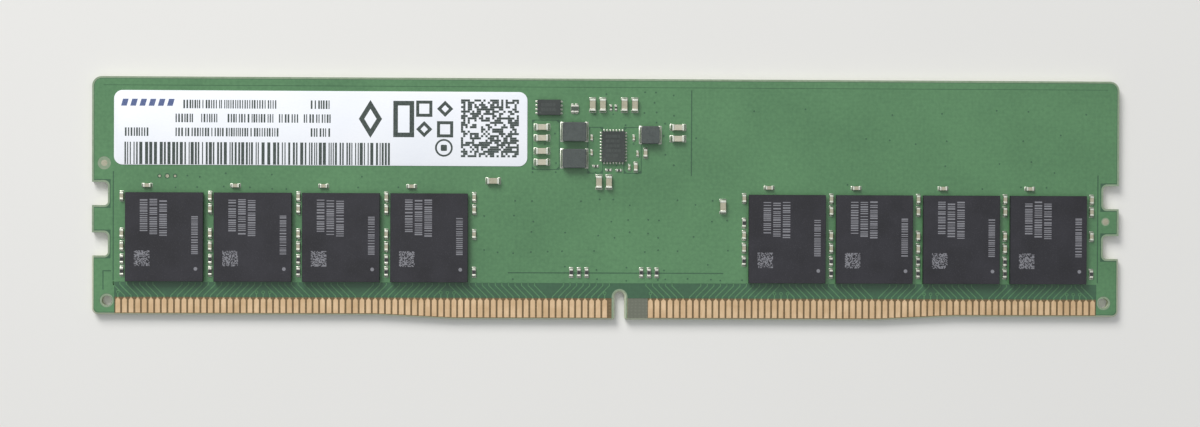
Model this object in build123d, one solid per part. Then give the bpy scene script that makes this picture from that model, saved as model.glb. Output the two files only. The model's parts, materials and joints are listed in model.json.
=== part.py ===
from build123d import *
import os

# Desktop memory module: a notched circuit board with gold edge contacts on both faces, eight memory
# packages in one row, a power section in the middle of the top edge, ceramic capacitors and chip
# resistors, and a paper label. It lies on its bare rear face.
#
# Frame, in millimetres: +X along the module, +Y from the contact edge to the top edge, +Z out of the
# front face. The origin is under the middle of the board, on the rear face. Places on the board are
# given as x from the middle and y up from the lowest point of the contact edge; at() converts them.

# Board
MODULE_LENGTH = 133.35
MODULE_HEIGHT = 31.25
BOARD_THICKNESS = 1.27
COAT = 0.04                      # solder mask, contact plating and pads, each let in flush
TOP_CORNER_RADIUS = 1.25
BOTTOM_CORNER_RADIUS = 0.8
END_RISE = 0.5                   # the contact edge stands this much higher at both ends
LEFT_RAMP = (-30.0, -20.0)       # where the edge comes down to its lowest level
RIGHT_RAMP = (35.0, 45.0)        # where it goes up again
EDGE_BEVEL = 0.2
MASK_INSET = 0.24                # bare rim between the mask and every cut edge
EJECTOR_NOTCH_Y = (9.58, 16.1)
EJECTOR_NOTCH_HEIGHT = 3.0
EJECTOR_NOTCH_DEPTH = 2.05
EJECTOR_NOTCH_RADIUS = 0.5
KEY_X = 1.5
KEY_WIDTH = 1.28
KEY_TOP = 3.6
KEY_MOUTH_RADIUS = 0.25
KEY_RIM = 0.38                   # the bare rim is wider round the key notch
TOOLING_HOLE = (64.75, 2.3)
TOOLING_HOLE_RADIUS = 0.65

# Edge contacts
CONTACT_PITCH = 0.85
CONTACT_WIDTH = 0.62
CONTACT_TOP = 2.62
CONTACT_FOOT = 0.24              # gap between a contact's foot and the cut edge
LEFT_CONTACTS = 75
RIGHT_CONTACTS = 69
OUTER_CONTACT_X = 63.325         # centre of the outermost contact at each end
CONTACT_WINDOW_X = 63.75
CONTACT_WINDOW_TOP = 2.78
WINDOW_HEIGHT = 4.0              # the window's shape runs this far down, past the contact edge

# Pads and label
FIDUCIALS = ((-65.1, 20.05), (64.95, 12.95))
FIDUCIAL_RADIUS = 0.4
FIDUCIAL_CLEARANCE = 0.45        # bare ring between a fiducial and the mask
TEST_PADS = ((-58.0, 18.4, 0.15), (-57.0, 18.4, 0.22), (-56.0, 18.4, 0.15))
LABEL_CENTRE = (-37.2, 24.66)
LABEL_SIZE = (53.3, 9.62)
LABEL_RADIUS = 1.1
ADHESIVE_THICKNESS = 0.03
PAPER_THICKNESS = 0.07

# Memory packages
PACKAGES_A_SIDE = 4
INNER_PACKAGE_X = 23.2
PACKAGE_PITCH = 11.36
PACKAGE_Y = 10.55
PACKAGE_SIZE = (10.0, 11.5)
BALL_STANDOFF = 0.3
BALL_RADIUS = 0.24
BALL_PITCH = 0.8
BALL_ROWS = 13
BALL_COLUMNS = (-4, -3, -2, 2, 3, 4)
SUBSTRATE_THICKNESS = 0.18
MOULD_THICKNESS = 0.62
MOULD_EDGE = 0.04
DIE_SIZE = (7.4, 9.4, 0.3)

# Power-management package and serial-presence hub: leadless packages on flat leads
LEAD_THICKNESS = 0.15
LEAD_LENGTH = 0.35
LEAD_PROUD = 0.05
SOLDER_GAP = 0.02
LEADLESS_HEIGHT = 0.75
CENTRE_PAD_MARGIN = 0.55
LEADLESS_DIE_MARGIN = 0.65
LEADLESS_DIE_THICKNESS = 0.25
POWER_IC_CENTRE = (0.62, 22.45)
POWER_IC_SIZE = (3.0, 4.0)
POWER_IC_LEADS = (7, 10)
POWER_IC_LEAD_PITCH = 0.4
HUB_CENTRE = (-7.75, 27.5)
HUB_SIZE = (3.0, 2.0)
HUB_LEADS = (0, 4)
HUB_LEAD_PITCH = 0.5

# Power inductors: centre, and length, width and height
LARGE_INDUCTOR = (3.2, 2.5, 1.2)
SMALL_INDUCTOR = (2.5, 2.3, 1.2)
INDUCTORS = (
    ((-4.45, 24.35), LARGE_INDUCTOR),
    ((-4.45, 20.9), LARGE_INDUCTOR),
    ((5.4, 23.98), SMALL_INDUCTOR),
)
INDUCTOR_CORNER = 0.15
INDUCTOR_EDGE = 0.08
INDUCTOR_PLATE = 0.08
INDUCTOR_FOOT = 0.7
INDUCTOR_PLATE_HEIGHT = 0.6
WINDING_RADII = (0.45, 0.9)
WINDING_Z = (0.35, 0.9)
WINDING_TAIL_WIDTH = 0.3

# Two-terminal parts: length, width, height, terminal band, terminal wall
BULK_CAPACITOR = (1.6, 0.8, 0.8, 0.32, 0.03)
SMALL_CAPACITOR = (1.0, 0.5, 0.5, 0.26, 0.02)
TINY_CAPACITOR = (0.6, 0.3, 0.3, 0.16, 0.015)
SMALL_RESISTOR = (1.0, 0.5, 0.35, 0.24, 0.02)
TINY_RESISTOR = (0.6, 0.3, 0.23, 0.15, 0.015)
ALONG_X = 0
ALONG_Y = 90

INPUT_CAPACITOR_X = (-8.65, 9.0)
INPUT_CAPACITOR_Y = ((24.95, 23.55, 21.85, 20.4), (24.98, 23.52))
OUTPUT_CAPACITOR_X = ((-2.1, -0.78, 2.02, 3.38), (-1.25, 0.05))
OUTPUT_CAPACITOR_Y = (27.85, 17.85)
RAIL_CAPACITORS = ((-14.95, 17.95, ALONG_X), (14.88, 14.75, ALONG_Y))

# Small parts stand in columns beside the packages. A column's letters name the rows that it has.
CAPACITOR_ROWS = {"a": 15.8, "b": 14.2, "c": 11.0, "d": 9.35}
RESISTOR_ROWS = {"e": 7.65, "f": 6.1, "g": 12.6}
COLUMN_OFFSET = -5.55
LAST_COLUMN_OFFSET = 5.8
ABOVE_PACKAGE = (-2.3, 17.2)
TERMINATION_X = (-3.8, 5.3)
TERMINATION_Y = 6.1
TERMINATION_SPACING = 1.0
POWER_SMALL_CAPACITORS = ((3.52, 19.82), (4.78, 21.65))
TINY_CAPACITORS = ((-2.2, 23.6), (-2.2, 21.68), (3.25, 23.6), (3.76, 21.55), (2.68, 19.78))
TINY_RESISTORS_UP = ((0.27, 27.5), (0.92, 27.5))
TINY_RESISTORS_ACROSS = ((-1.67, 19.92), (0.0, 19.42), (1.35, 19.4))
ARRAY_CENTRE = (-4.42, 27.35)
ARRAY_SIZE = (1.0, 1.0, 0.35)
ARRAY_TERMINAL = (0.34, 0.24)

FRONT = BOARD_THICKNESS
NEAR = 0.001                     # two lengths closer than this are the same
STANDING = (Align.CENTER, Align.CENTER, Align.MIN)

nodes = {}


def add(node, *solids):
    """Put solids into a node, which becomes one file."""
    nodes.setdefault(node, []).extend(solids)


def at(x, y, z=0.0):
    """A place on the board: x from the middle, y up from the lowest contact edge."""
    return Pos(x, y - MODULE_HEIGHT / 2, z)


def block(length, width, height):
    """A block centred on X and Y that stands on z = 0."""
    return Box(length, width, height, align=STANDING)


def package_x(number):
    """Centre of a memory package, numbered from 1 at the left."""
    if number <= PACKAGES_A_SIDE:
        return -INNER_PACKAGE_X - (PACKAGES_A_SIDE - number) * PACKAGE_PITCH
    return INNER_PACKAGE_X + (number - PACKAGES_A_SIDE - 1) * PACKAGE_PITCH


# ---- Board, mask and contacts -----------------------------------------------------------------------


def edge_height(x):
    """Height of the contact edge at x."""
    if x < LEFT_RAMP[1]:
        part_way = (LEFT_RAMP[1] - x) / (LEFT_RAMP[1] - LEFT_RAMP[0])
    else:
        part_way = (x - RIGHT_RAMP[0]) / (RIGHT_RAMP[1] - RIGHT_RAMP[0])
    return END_RISE * min(max(part_way, 0.0), 1.0)


def board_face(inset=0.0):
    """The board's outline with its notches and holes, drawn in by inset from every cut edge."""
    half = MODULE_LENGTH / 2 - inset
    top = MODULE_HEIGHT - inset
    ramps = [(x, edge_height(x) + inset) for x in LEFT_RAMP + RIGHT_RAMP]
    low = END_RISE + inset
    corners = [(-half, low), *ramps, (half, low), (half, top), (-half, top)]
    face = at(0, 0) * make_face(Polyline(*corners, close=True))
    face = fillet(face.vertices().sort_by(Axis.Y)[-2:], TOP_CORNER_RADIUS - inset)
    ends = face.vertices().filter_by(lambda v: abs(abs(v.X) - half) < NEAR)
    face = fillet(ends.sort_by(Axis.Y)[:2], BOTTOM_CORNER_RADIUS - inset)
    notch = RectangleRounded(
        2 * (EJECTOR_NOTCH_DEPTH + inset), EJECTOR_NOTCH_HEIGHT + 2 * inset, EJECTOR_NOTCH_RADIUS + inset
    )
    for side in (-1, 1):
        for y in EJECTOR_NOTCH_Y:
            face -= at(side * MODULE_LENGTH / 2, y) * notch
        face -= at(side * TOOLING_HOLE[0], TOOLING_HOLE[1]) * Circle(TOOLING_HOLE_RADIUS + inset)
    return face - key_slot(inset)


def key_slot(inset):
    """The key notch: straight walls that open at the contact edge, and a full round at the top."""
    radius = KEY_WIDTH / 2 + inset
    round_y = KEY_TOP - KEY_WIDTH / 2
    walls = Rectangle(2 * radius, 2 * round_y)
    return at(KEY_X, 0) * walls + at(KEY_X, round_y) * Circle(radius)


def is_key_mouth(vertex):
    """True for the two corners where the key notch opens."""
    return abs(vertex.Y + MODULE_HEIGHT / 2) < NEAR and abs(vertex.X - KEY_X) < KEY_WIDTH


def is_contact_edge(edge):
    """True for the edges of both faces that run along the contact edge and round the key notch."""
    middle = edge.center()
    on_a_face = min(abs(middle.Z), abs(middle.Z - BOARD_THICKNESS)) < NEAR
    y = middle.Y + MODULE_HEIGHT / 2
    at_edge = y < END_RISE + NEAR
    at_key = abs(middle.X - KEY_X) < KEY_WIDTH and y < KEY_TOP + NEAR
    return on_a_face and (at_edge or at_key)


def mask_face(openings):
    """The mask covers the board but for the contact window, a rim at the cut edges and the openings."""
    window = Rectangle(2 * CONTACT_WINDOW_X, WINDOW_HEIGHT)
    face = board_face(MASK_INSET) - key_slot(KEY_RIM)
    face -= at(0, CONTACT_WINDOW_TOP - WINDOW_HEIGHT / 2) * window
    for x, y, radius in openings:
        face -= at(x, y) * Circle(radius)
    return face


def contact_recess():
    """The bare laminate between the contacts lies lower than the mask by one coat."""
    middle = CONTACT_WINDOW_TOP - WINDOW_HEIGHT / 2
    return at(0, middle) * block(2 * CONTACT_WINDOW_X, WINDOW_HEIGHT, COAT)


def make_contact(x):
    """One contact: square foot at the edge, round top."""
    radius = CONTACT_WIDTH / 2
    foot = edge_height(x) + CONTACT_FOOT
    round_y = CONTACT_TOP - radius
    blade = at(x, (foot + round_y) / 2) * Rectangle(CONTACT_WIDTH, round_y - foot)
    return extrude(blade + at(x, round_y) * Circle(radius), COAT)


def build_board():
    """Laminate, the two masks, the bare pads and the four rows of contacts."""
    openings = [(x, y, FIDUCIAL_RADIUS + FIDUCIAL_CLEARANCE) for x, y in FIDUCIALS]
    openings += TEST_PADS
    front_mask = Pos(0, 0, FRONT - COAT) * extrude(mask_face(openings), COAT)
    rear_mask = extrude(mask_face([]), COAT)
    pads = [(x, y, FIDUCIAL_RADIUS) for x, y in FIDUCIALS]
    pads += TEST_PADS
    pads = [at(x, y, FRONT - COAT) * Cylinder(r, COAT, align=STANDING) for x, y, r in pads]
    outline = board_face()
    outline = fillet(outline.vertices().filter_by(is_key_mouth), KEY_MOUTH_RADIUS)
    blank = extrude(outline, BOARD_THICKNESS)
    blank = chamfer(blank.edges().filter_by(is_contact_edge), EDGE_BEVEL)
    laminate = blank - front_mask - rear_mask - contact_recess()
    laminate = laminate - Pos(0, 0, FRONT - COAT) * contact_recess()
    for pad in pads:
        laminate = laminate - pad
    add("board_laminate", laminate)
    add("solder_mask_front", front_mask)
    add("solder_mask_rear", rear_mask)
    add("bare_pads", *pads)
    left = [-OUTER_CONTACT_X + i * CONTACT_PITCH for i in range(LEFT_CONTACTS)]
    right = [OUTER_CONTACT_X - i * CONTACT_PITCH for i in range(RIGHT_CONTACTS)]
    for side, row in (("left", left), ("right", right)):
        for x in row:
            contact = make_contact(x)
            add("contacts_rear_" + side, contact)
            add("contacts_front_" + side, Pos(0, 0, FRONT - COAT) * contact)


# ---- Memory packages --------------------------------------------------------------------------------


def build_package(number):
    """One memory package: solder balls, substrate, silicon die and moulded cap."""
    x = package_x(number)
    ball = Sphere(BALL_RADIUS) & Box(1.0, 1.0, BALL_STANDOFF)
    middle_row = (BALL_ROWS - 1) / 2
    for column in BALL_COLUMNS:
        for row in range(BALL_ROWS):
            ball_x = x + column * BALL_PITCH
            ball_y = PACKAGE_Y + (row - middle_row) * BALL_PITCH
            add(f"memory_balls_{number}", at(ball_x, ball_y, FRONT + BALL_STANDOFF / 2) * ball)
    substrate_z = FRONT + BALL_STANDOFF
    mould_z = substrate_z + SUBSTRATE_THICKNESS
    substrate = at(x, PACKAGE_Y, substrate_z) * block(*PACKAGE_SIZE, SUBSTRATE_THICKNESS)
    add(f"memory_substrate_{number}", substrate)
    die = at(x, PACKAGE_Y, mould_z) * block(*DIE_SIZE)
    cap = block(*PACKAGE_SIZE, MOULD_THICKNESS)
    cap = chamfer(cap.faces().sort_by(Axis.Z)[-1].edges(), MOULD_EDGE)
    add(f"memory_chip_{number}", at(x, PACKAGE_Y, mould_z) * cap - die)
    add("memory_dies", die)


# ---- Leadless packages ------------------------------------------------------------------------------


def leadless_leads(size, counts, pitch):
    """Flat leads along the ends (counts[0] on each) and sides (counts[1] on each), and a centre pad."""
    length, width = size
    lead_width = pitch / 2
    margin = 2 * CENTRE_PAD_MARGIN
    leads = [block(length - margin, width - margin, LEAD_THICKNESS)]
    for side in (-1, 1):
        for i in range(counts[1]):
            offset = (i - (counts[1] - 1) / 2) * pitch
            reach = side * (length / 2 + LEAD_PROUD - LEAD_LENGTH / 2)
            leads.append(Pos(reach, offset) * block(LEAD_LENGTH, lead_width, LEAD_THICKNESS))
        for i in range(counts[0]):
            offset = (i - (counts[0] - 1) / 2) * pitch
            reach = side * (width / 2 + LEAD_PROUD - LEAD_LENGTH / 2)
            leads.append(Pos(offset, reach) * block(lead_width, LEAD_LENGTH, LEAD_THICKNESS))
    return leads


def build_leadless(name, centre, size, counts, pitch):
    """A moulded leadless package with its leads and the die on its centre pad."""
    place = at(*centre, FRONT)
    leads = leadless_leads(size, counts, pitch)
    margin = 2 * LEADLESS_DIE_MARGIN
    die = Pos(0, 0, LEAD_THICKNESS) * block(size[0] - margin, size[1] - margin, LEADLESS_DIE_THICKNESS)
    body = Pos(0, 0, SOLDER_GAP) * block(*size, LEADLESS_HEIGHT - SOLDER_GAP)
    body = chamfer(body.faces().sort_by(Axis.Z)[-1].edges(), MOULD_EDGE)
    for inner in (*leads, die):
        body = body - inner
    add(name + "_body", place * body)
    add(name + "_leads", *(place * lead for lead in leads))
    add("controller_dies", place * die)


# ---- Inductors --------------------------------------------------------------------------------------


def build_inductor(number, centre, size):
    """A moulded power inductor: pressed core, the winding inside it and a folded plate at each end."""
    length, width, height = size
    place = at(*centre, FRONT)
    plates = []
    for side in (-1, 1):
        foot = Pos(side * (length - INDUCTOR_FOOT) / 2, 0) * block(INDUCTOR_FOOT, width, INDUCTOR_PLATE)
        wall_x = side * (length - INDUCTOR_PLATE) / 2
        plates.append(foot + Pos(wall_x, 0) * block(INDUCTOR_PLATE, width, INDUCTOR_PLATE_HEIGHT))
    inner, outer = WINDING_RADII
    depth = WINDING_Z[1] - WINDING_Z[0]
    ring = Cylinder(outer, depth, align=STANDING) - Cylinder(inner, depth, align=STANDING)
    tail_length = length / 2 - INDUCTOR_PLATE - (inner + outer) / 2
    for side in (-1, 1):
        tail_x = side * (length / 2 - INDUCTOR_PLATE - tail_length / 2)
        ring += Pos(tail_x, 0) * block(tail_length, WINDING_TAIL_WIDTH, depth / 3)
    winding = Pos(0, 0, WINDING_Z[0]) * ring
    core_length = length - 2 * INDUCTOR_PLATE
    core = Pos(0, 0, INDUCTOR_PLATE) * block(core_length, width, height - INDUCTOR_PLATE)
    core = fillet(core.edges().filter_by(Axis.Z), INDUCTOR_CORNER)
    core = chamfer(core.faces().sort_by(Axis.Z)[-1].edges(), INDUCTOR_EDGE)
    add(f"inductor_core_{number}", place * (core - winding))
    add("inductor_windings", place * winding)
    add("inductor_terminals", *(place * plate for plate in plates))


# ---- Capacitors and resistors -----------------------------------------------------------------------


def two_terminal(size):
    """A chip part along X: the body, and a metal cap over each end that leaves the body bare between."""
    length, width, height, band, wall = size
    body = Pos(0, 0, wall) * block(length - 2 * wall, width - 2 * wall, height - 2 * wall)
    caps = []
    for side in (-1, 1):
        caps.append(Pos(side * (length - band) / 2, 0) * block(band, width, height) - body)
    return body, caps


def place_parts(node, size, places):
    """Put copies of a two-terminal part at (x, y, direction) places, bodies and terminals apart."""
    body, caps = two_terminal(size)
    for x, y, direction in places:
        place = at(x, y, FRONT) * Rot(0, 0, direction)
        add(node + "_bodies", place * body)
        add(node + "_terminals", *(place * cap for cap in caps))


def column_places(rows):
    """Every place in the columns whose letter is one of these rows."""
    columns = [(package_x(n) + COLUMN_OFFSET, "abcdef") for n in (2, 3, 4, 6, 7, 8)]
    columns.append((package_x(1) + COLUMN_OFFSET, "acdef"))
    columns.append((package_x(4) + LAST_COLUMN_OFFSET, "abcf"))
    columns.append((package_x(5) + COLUMN_OFFSET, "acdeg"))
    columns.append((package_x(8) + LAST_COLUMN_OFFSET, "abcf"))
    return [(x, rows[letter], ALONG_Y) for x, letters in columns for letter in letters if letter in rows]


def build_capacitors():
    """Input and output capacitors of the power section, and the decoupling ones in two sizes."""
    banks = zip(INPUT_CAPACITOR_X, INPUT_CAPACITOR_Y)
    place_parts("input_capacitor", BULK_CAPACITOR, [(x, y, ALONG_X) for x, rows in banks for y in rows])
    rows = zip(OUTPUT_CAPACITOR_X, OUTPUT_CAPACITOR_Y)
    output = [(x, y, ALONG_Y) for row, y in rows for x in row]
    place_parts("output_capacitor", BULK_CAPACITOR, [*output, *RAIL_CAPACITORS])
    small = column_places(CAPACITOR_ROWS)
    for number in range(1, 2 * PACKAGES_A_SIDE + 1):
        small.append((package_x(number) + ABOVE_PACKAGE[0], ABOVE_PACKAGE[1], ALONG_X))
    small += [(x, y, ALONG_Y) for x, y in POWER_SMALL_CAPACITORS]
    place_parts("decoupling_capacitor", SMALL_CAPACITOR, small)
    place_parts("tiny_capacitor", TINY_CAPACITOR, [(x, y, ALONG_Y) for x, y in TINY_CAPACITORS])


def build_resistors():
    """Resistors in the columns, the termination groups above the contacts and the power section."""
    small = column_places(RESISTOR_ROWS)
    for middle in TERMINATION_X:
        small += [(middle + step * TERMINATION_SPACING, TERMINATION_Y, ALONG_Y) for step in (-1, 0, 1)]
    place_parts("resistor", SMALL_RESISTOR, small)
    tiny = [(x, y, ALONG_Y) for x, y in TINY_RESISTORS_UP]
    tiny += [(x, y, ALONG_X) for x, y in TINY_RESISTORS_ACROSS]
    place_parts("tiny_resistor", TINY_RESISTOR, tiny)


def build_array():
    """The two-element resistor array, with two terminals on each side."""
    place = at(*ARRAY_CENTRE, FRONT)
    wall = SMALL_RESISTOR[4]
    length, width, height = ARRAY_SIZE
    body = Pos(0, 0, wall) * block(length, width - 2 * wall, height - 2 * wall)
    terminal_width, band = ARRAY_TERMINAL
    add("resistor_array_body", place * body)
    for side in (-1, 1):
        for x in (-length / 4, length / 4):
            cap = Pos(x, side * (width - band) / 2) * block(terminal_width, band, height)
            add("resistor_array_terminals", place * (cap - body))


def build_label():
    """The paper label and the layer of adhesive that holds it to the mask."""
    shape = RectangleRounded(*LABEL_SIZE, LABEL_RADIUS)
    add("label_adhesive", at(*LABEL_CENTRE, FRONT) * extrude(shape, ADHESIVE_THICKNESS))
    add("label_paper", at(*LABEL_CENTRE, FRONT + ADHESIVE_THICKNESS) * extrude(shape, PAPER_THICKNESS))


build_board()
for number in range(1, 2 * PACKAGES_A_SIDE + 1):
    build_package(number)
build_leadless("power_ic", POWER_IC_CENTRE, POWER_IC_SIZE, POWER_IC_LEADS, POWER_IC_LEAD_PITCH)
build_leadless("hub_ic", HUB_CENTRE, HUB_SIZE, HUB_LEADS, HUB_LEAD_PITCH)
for number, (centre, size) in enumerate(INDUCTORS, start=1):
    build_inductor(number, centre, size)
build_capacitors()
build_resistors()
build_array()
build_label()

os.makedirs("parts", exist_ok=True)
for node, shapes in nodes.items():
    solids = [solid for shape in shapes for solid in shape.solids()]
    export_step(Compound(solids), f"parts/{node}.step")
    print(node, len(solids))
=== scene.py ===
import bmesh
import bpy
import json
import math
import random
from mathutils import Euler, Matrix, Vector
from mathutils.geometry import tessellate_polygon


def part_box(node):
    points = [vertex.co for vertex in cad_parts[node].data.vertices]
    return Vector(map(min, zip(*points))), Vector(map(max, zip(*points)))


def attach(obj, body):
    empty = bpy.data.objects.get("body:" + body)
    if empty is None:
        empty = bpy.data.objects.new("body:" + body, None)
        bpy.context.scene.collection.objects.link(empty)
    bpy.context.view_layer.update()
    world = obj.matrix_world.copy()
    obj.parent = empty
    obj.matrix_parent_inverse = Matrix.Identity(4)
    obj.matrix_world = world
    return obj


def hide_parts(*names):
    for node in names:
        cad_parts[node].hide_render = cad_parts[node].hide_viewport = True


# Looks of the memory module. Every length is in millimetres until an object is made. A place on the
# board is an x from its middle and a height above the lowest contact edge, unless the CAD gives it.
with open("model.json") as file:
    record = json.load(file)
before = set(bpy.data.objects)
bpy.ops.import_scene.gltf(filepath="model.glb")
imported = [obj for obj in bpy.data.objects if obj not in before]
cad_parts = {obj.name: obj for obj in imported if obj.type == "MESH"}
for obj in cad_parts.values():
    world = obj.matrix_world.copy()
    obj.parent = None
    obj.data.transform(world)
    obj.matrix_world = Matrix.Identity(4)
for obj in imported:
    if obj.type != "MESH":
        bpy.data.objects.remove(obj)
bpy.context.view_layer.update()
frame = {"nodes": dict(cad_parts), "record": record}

MM = 0.001
MITRE_LIMIT = 0.3                # keeps the moved corner of a very sharp bend near the bend
FRONT_SEED, REAR_SEED, PACKAGE_SEED, CONTROLLER_SEED, LABEL_SEED = 11, 23, 40, 61, 5


def srgb(red, green, blue):
    """A colour given as 0 to 255 screen values, as Blender's linear colour."""
    linear = []
    for value in (red, green, blue):
        value /= 255
        linear.append(value / 12.92 if value <= 0.04045 else ((value + 0.055) / 1.055) ** 2.4)
    return (*linear, 1.0)


def node_box(node):
    """Lowest and highest corner of a CAD node, in millimetres."""
    low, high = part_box(node)
    return Vector(low) / MM, Vector(high) / MM


BOARD_LOW, BOARD_HIGH = node_box("board_laminate")
EDGE = BOARD_LOW.y
FRONT = BOARD_HIGH.z
HALF_LENGTH = BOARD_HIGH.x
HEIGHT = BOARD_HIGH.y - BOARD_LOW.y
MOUNTS = {mount["name"]: mount for mount in frame["record"]["mounts"]}
KEY_X = MOUNTS["key_notch"]["pos_m"][0] / MM
KEY_HALF = MOUNTS["key_notch"]["dims"]["r_mm"]
TOOLING_HOLES = [[value / MM for value in MOUNTS["tooling_hole_" + side]["pos_m"]]
                 for side in ("left", "right")]
TOOLING_RADIUS = MOUNTS["tooling_hole_left"]["dims"]["r_mm"]
KEY_RIM = 0.38                   # width of the bare rim round the key notch, where a pale highlight is painted
CONTACT_LINE = 2.78              # lower edge of the mask, above the contact edge
WINDOW_HALF = 63.75              # half the length of the window that the mask leaves for the contacts


def at_height(y):
    """The frame's y of a height above the lowest contact edge."""
    return EDGE + y


def heights(points):
    """Points given as (x, height above the contact edge), in the frame's x and y."""
    return [(x, at_height(y)) for x, y in points]


def numbered(name, count):
    """The names of like nodes, numbered from 1."""
    return [f"{name}_{number}" for number in range(1, count + 1)]


def solids_of(node):
    """Lowest and highest corner of each separate solid in a CAD node, from left to right."""
    mesh = frame["nodes"][node].data
    places = [tuple(round(value / MM, 3) for value in vertex.co) for vertex in mesh.vertices]
    leader = {place: place for place in places}

    def find(place):
        while leader[place] != place:
            leader[place] = leader[leader[place]]
            place = leader[place]
        return place

    for edge in mesh.edges:
        first, second = (find(places[index]) for index in edge.vertices)
        leader[first] = second
    members = {}
    for place in leader:
        members.setdefault(find(place), []).append(place)
    groups = members.values()
    boxes = [(Vector(map(min, zip(*group))), Vector(map(max, zip(*group)))) for group in groups]
    return sorted(boxes, key=lambda box: (round(box[0].x, 2), round(box[0].y, 2)))


PACKAGE_COUNT = 8
INDUCTOR_COUNT = 3
PACKAGE_BOXES = [node_box(node) for node in numbered("memory_chip", PACKAGE_COUNT)]
LABEL_BOX = node_box("label_paper")
BARE_START = KEY_X + KEY_HALF + KEY_RIM      # the grey patch right of the key, where no contact is
BARE_END = min(low.x for low, high in solids_of("contacts_front_right"))
BARE_MIDDLE = (BARE_START + BARE_END) / 2
BARE_HALF = (BARE_END - BARE_START) / 2 - 0.05

# ---- Outlines ----


def arc(x, y, radius, start, steps=4):
    """A quarter circle round a point, anticlockwise from the angle start."""
    angles = [math.radians(start + 90 * step / steps) for step in range(steps + 1)]
    return [(x + radius * math.cos(angle), y + radius * math.sin(angle)) for angle in angles]


def rectangle(x0, y0, x1, y1, radius=0.0, steps=4):
    """An anticlockwise rectangle, with rounded corners if a radius is given."""
    if not radius:
        return [(x0, y0), (x1, y0), (x1, y1), (x0, y1)]
    corners = ((x1 - radius, y0 + radius, -90), (x1 - radius, y1 - radius, 0),
               (x0 + radius, y1 - radius, 90), (x0 + radius, y0 + radius, 180))
    return [point for x, y, start in corners for point in arc(x, y, radius, start, steps)]


def circle(x, y, radius, steps=16):
    """An anticlockwise circle."""
    turns = [2 * math.pi * step / steps for step in range(steps)]
    return [(x + radius * math.cos(turn), y + radius * math.sin(turn)) for turn in turns]


def moved_left(before, here, after, distance):
    """A corner moved to the left, so that the lines before and after it both move by distance."""
    before, after = before.normalized(), after.normalized()
    left_before = Vector((-before.y, before.x))
    left = (left_before + Vector((-after.y, after.x))).normalized()
    return tuple(here + left * distance / max(left.dot(left_before), MITRE_LIMIT))


def moved_in(points, distance):
    """A closed anticlockwise outline drawn in by distance. A hole is given clockwise, and widens."""
    if not distance:
        return list(points)
    result = []
    for index, here in enumerate(points):
        here = Vector(here)
        before = here - Vector(points[index - 1])
        after = Vector(points[(index + 1) % len(points)]) - here
        result.append(moved_left(before, here, after, distance))
    return result


def beside(points, offset):
    """An open line moved to its left by offset, with its bends kept sharp."""
    result = []
    for index, here in enumerate(points):
        here = Vector(here)
        before = here - Vector(points[index - 1]) if index else Vector(points[1]) - here
        after = Vector(points[index + 1]) - here if index + 1 < len(points) else before
        result.append(moved_left(before, here, after, offset))
    return result


# ---- Closed solids and pieces ----


def ring_faces(lower, upper, count):
    """The faces between two rings of count corners, whose first corners are lower and upper."""
    following = [(index + 1) % count for index in range(count)]
    return [[lower + index, lower + after, upper + after, upper + index]
            for index, after in enumerate(following)]


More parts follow.
